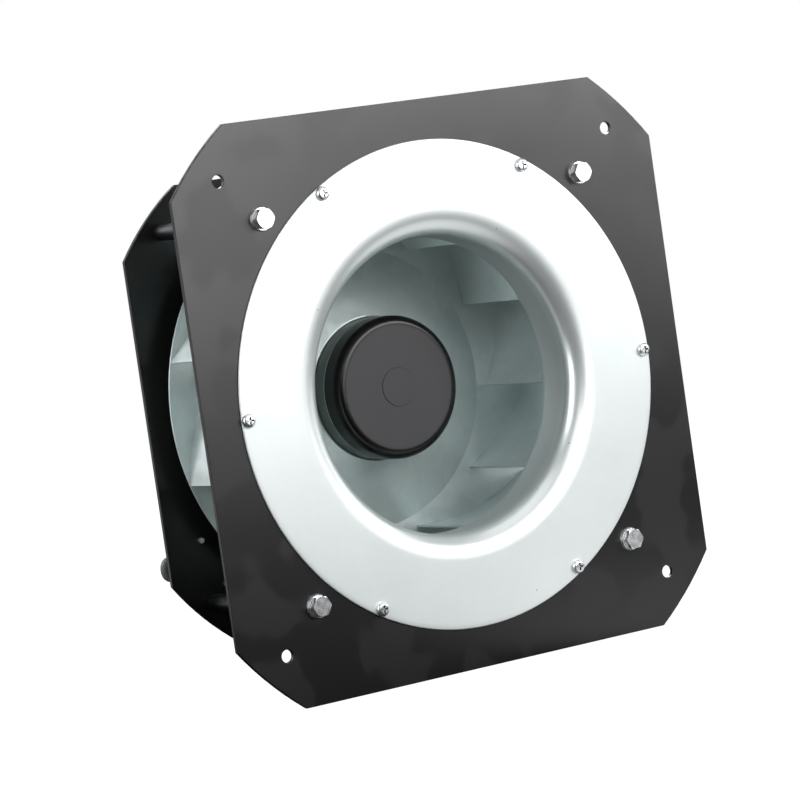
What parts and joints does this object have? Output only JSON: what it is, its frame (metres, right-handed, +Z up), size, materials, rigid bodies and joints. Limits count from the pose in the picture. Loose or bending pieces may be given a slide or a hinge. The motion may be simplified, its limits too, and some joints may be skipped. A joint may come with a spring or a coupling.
{
  "type": "centrifugal fan",
  "caption": "Backward-curved centrifugal fan with external-rotor motor, held between a square front plate with inlet ring and a smaller rear plate by columns.",
  "frame": {"origin": "on the fan axis, in the front face of the front plate, which is also the centre of its corner holes", "axes": "+Y along the fan axis from the inlet to the motor's rear, +Z up, +X right seen from the inlet"},
  "size_m": [0.4, 0.1762, 0.4],
  "materials": {
    "plate_black": "satin black powder coat on sheet steel",
    "ring_galvanised": "bright galvanised sheet with soft mottling",
    "impeller_sheet": "satin zinc-coated sheet, blue-green grey",
    "zinc_plated": "bright zinc plating",
    "column_steel": "turned steel bar, zinc plated",
    "cap_black": "moulded cap, matt face and glossy side",
    "rotor_steel": "drawn steel shell",
    "cast_aluminium": "die-cast aluminium, as cast",
    "board_green": "solder-masked circuit board",
    "component_black": "moulded component bodies",
    "winding_copper": "enamelled copper wire",
    "lamination_steel": "stacked electrical steel",
    "insulator_white": "moulded insulator",
    "magnet_grey": "sintered magnet",
    "bearing_steel": "ground bearing steel",
    "cage_brass": "pressed brass cage",
    "gasket_rubber": "soft black rubber",
    "gland_black": "moulded nylon, black",
    "lead_sleeve": "braided grey sleeve over the wires",
    "clip_steel": "zinc-plated strap",
    "connector_white": "natural nylon",
    "pin_brass": "plated brass pins"
  },
  "bodies": {
    "frame": {"board_components": "component_black", "board_screws": "zinc_plated", "cable_gland": "gland_black", "circuit_board": "board_green", "connector_pins": "pin_brass", "cover_gasket": "gasket_rubber", "cover_screws": "zinc_plated", "electronics_cover": "cast_aluminium", "front_bearing_outer_race": "bearing_steel", "front_column_bolts": "zinc_plated", "front_plate": "plate_black", "gland_cap": "gland_black", "gland_locknut": "gland_black", "inlet_ring": "ring_galvanised", "inlet_ring_nuts": "zinc_plated", "inlet_ring_screws": "zinc_plated", "lead_clip_screws": "zinc_plated", "lead_clips": "clip_steel", "lead_connector": "connector_white", "motor_flange": "cast_aluminium", "motor_lead": "lead_sleeve", "motor_screws": "zinc_plated", "preload_washer": "clip_steel", "rear_bearing_outer_race": "bearing_steel", "rear_column_bolts": "zinc_plated", "rear_plate": "plate_black", "spacer_column_bottom_left": "column_steel", "spacer_column_bottom_right": "column_steel", "spacer_column_top_left": "column_steel", "spacer_column_top_right": "column_steel", "stator_core": "lamination_steel", "stator_insulators": "insulator_white", "stator_windings": "winding_copper"},
    "rotor": {"rotor_cap": "cap_black", "rotor_cup": "rotor_steel", "rotor_magnets": "magnet_grey", "motor_shaft": "bearing_steel", "shaft_circlip": "clip_steel", "front_bearing_inner_race": "bearing_steel", "rear_bearing_inner_race": "bearing_steel", "impeller_back_plate": "impeller_sheet", "impeller_shroud": "impeller_sheet", "impeller_rivets": "zinc_plated", "impeller_blade_01": "impeller_sheet", "impeller_blade_02": "impeller_sheet", "impeller_blade_03": "impeller_sheet", "impeller_blade_04": "impeller_sheet", "impeller_blade_05": "impeller_sheet", "impeller_blade_06": "impeller_sheet", "impeller_blade_07": "impeller_sheet", "impeller_blade_08": "impeller_sheet", "impeller_blade_09": "impeller_sheet", "impeller_blade_10": "impeller_sheet", "impeller_blade_11": "impeller_sheet"},
    "front_ball_set": {"front_bearing_balls": "bearing_steel", "front_bearing_cage": "cage_brass"},
    "rear_ball_set": {"rear_bearing_balls": "bearing_steel", "rear_bearing_cage": "cage_brass"}
  },
  "joints": [
    {"name": "rotor_spin", "type": "hinge", "parent": "frame", "child": "rotor", "pos_m": [0, 0.1, 0], "axis": [0, 1, 0], "continuous": true},
    {"name": "front_ball_set_spin", "type": "hinge", "parent": "frame", "child": "front_ball_set", "pos_m": [0, 0.091, 0], "axis": [0, 1, 0], "continuous": true},
    {"name": "rear_ball_set_spin", "type": "hinge", "parent": "frame", "child": "rear_ball_set", "pos_m": [0, 0.122, 0], "axis": [0, 1, 0], "continuous": true}
  ],
  "couplings": [
    {"joint": "front_ball_set_spin", "follows": "rotor_spin", "ratio": 0.375},
    {"joint": "rear_ball_set_spin", "follows": "rotor_spin", "ratio": 0.375}
  ]
}
